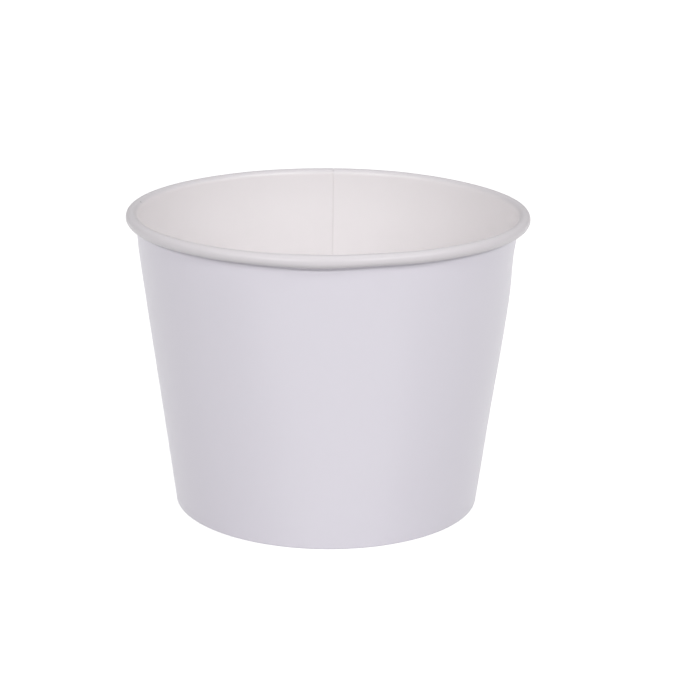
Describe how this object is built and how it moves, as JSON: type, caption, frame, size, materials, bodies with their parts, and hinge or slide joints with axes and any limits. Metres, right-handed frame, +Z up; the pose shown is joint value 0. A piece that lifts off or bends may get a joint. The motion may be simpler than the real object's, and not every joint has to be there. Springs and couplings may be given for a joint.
{
  "type": "paper food bucket",
  "caption": "Round tapered paper food bucket, open at the top, with a rolled rim, a lap-sealed side wall and a recessed base.",
  "frame": {"origin": "centre of the foot, on the surface that the bucket stands on", "axes": "+Z up along the bucket's axis, towards the open mouth; the lap seam stands on the +Y side"},
  "size_m": [0.222, 0.222, 0.167],
  "materials": {
    "coated_board": "satin"
  },
  "bodies": {
    "root": {"side_wall": "coated_board", "base_disc": "coated_board"}
  },
  "joints": []
}
